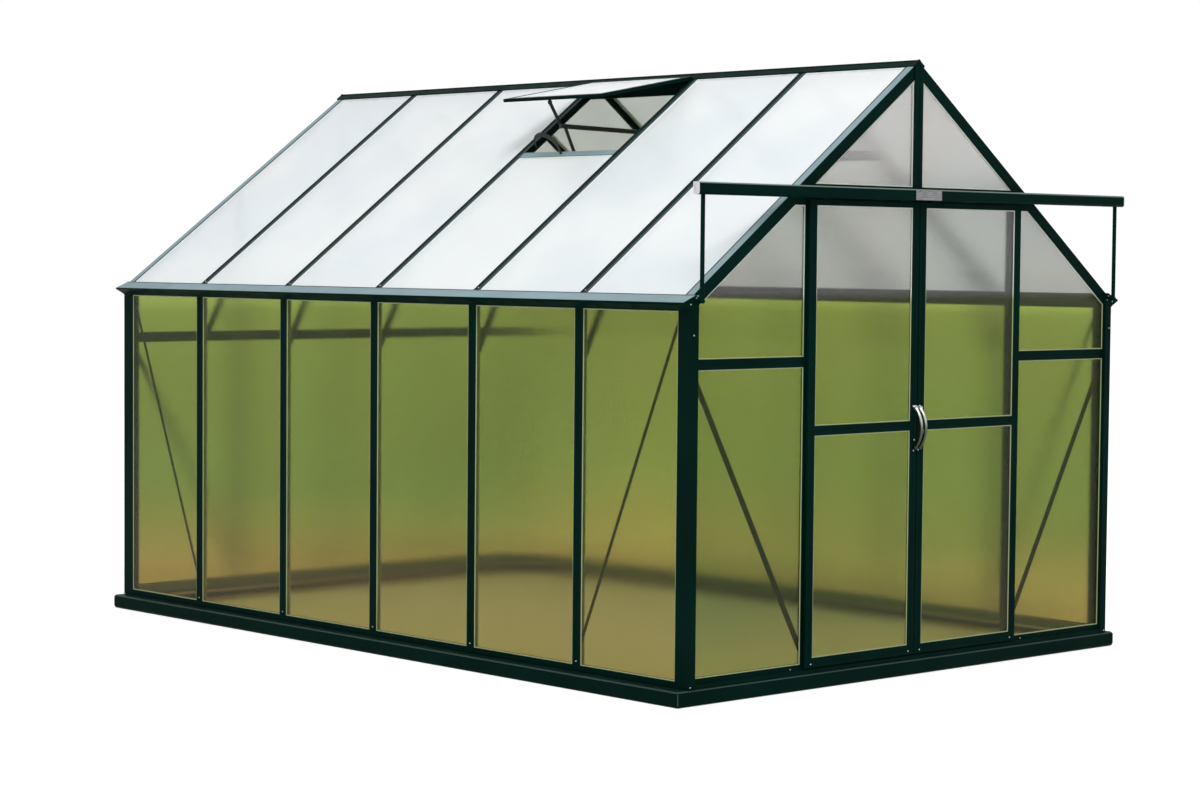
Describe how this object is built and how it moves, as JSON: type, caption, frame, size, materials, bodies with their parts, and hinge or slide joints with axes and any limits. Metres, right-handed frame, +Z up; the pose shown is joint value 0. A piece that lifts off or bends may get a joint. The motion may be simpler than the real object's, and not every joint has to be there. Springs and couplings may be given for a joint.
{
  "type": "greenhouse",
  "caption": "Gabled greenhouse with translucent sheets in dark green glazing bars on a low base, a roof vent standing open and sliding doors under an overhead rail.",
  "frame": {"origin": "middle of the footprint on the ground", "axes": "+Z up, +Y along the ridge to the back gable, -Y towards the doors"},
  "size_m": [2.543, 3.6955, 2.373],
  "materials": {
    "frame_coat": "dark green satin powder coat",
    "base_coat": "dark green powder-coated folded steel",
    "wall_sheet": "translucent ribbed twin-wall sheet",
    "roof_sheet": "pale translucent ribbed twin-wall sheet",
    "bright_trim": "satin bright metal",
    "dark_plastic": "black moulded plastic"
  },
  "bodies": {
    "house": {"base_sides": "base_coat", "base_ends": "base_coat", "side_sills": "frame_coat", "gable_sills": "frame_coat", "corner_posts": "frame_coat", "left_side_posts": "frame_coat", "right_side_posts": "frame_coat", "eave_gutters": "frame_coat", "gutter_ends": "frame_coat", "ridge": "frame_coat", "ridge_ends": "frame_coat", "left_roof_bars": "frame_coat", "right_roof_bars": "frame_coat", "gable_rafters": "frame_coat", "front_king_post": "frame_coat", "front_header": "frame_coat", "door_posts": "frame_coat", "sidelight_rails": "frame_coat", "back_gable_posts": "frame_coat", "back_gable_rails": "frame_coat", "side_braces": "frame_coat", "gable_braces": "frame_coat", "knee_braces": "frame_coat", "left_wall_panes": "wall_sheet", "right_wall_panes": "wall_sheet", "left_roof_panes": "roof_sheet", "right_roof_panes": "roof_sheet", "front_gable_panes": "wall_sheet", "back_gable_panes": "wall_sheet", "vent_sills": "frame_coat", "left_vent_frame": "frame_coat", "left_vent_pane": "roof_sheet", "right_vent_frame": "frame_coat", "right_vent_pane": "roof_sheet", "vent_opener": "dark_plastic", "door_rail": "frame_coat", "rail_ends": "bright_trim", "rail_brackets": "frame_coat", "rail_struts": "frame_coat", "rail_plate": "bright_trim"},
    "left_door": {"left_door_frame": "frame_coat", "left_door_panes": "wall_sheet", "left_door_handle": "bright_trim", "left_door_hangers": "frame_coat", "left_door_rollers": "dark_plastic"},
    "right_door": {"right_door_frame": "frame_coat", "right_door_panes": "wall_sheet", "right_door_handle": "bright_trim", "right_door_hangers": "frame_coat", "right_door_rollers": "dark_plastic"}
  },
  "joints": [
    {"name": "left_door_slide", "type": "slide", "parent": "house", "child": "left_door", "axis": [-1, 0, 0], "range_m": [0, 0.56]},
    {"name": "right_door_slide", "type": "slide", "parent": "house", "child": "right_door", "axis": [1, 0, 0], "range_m": [0, 0.56]}
  ]
}
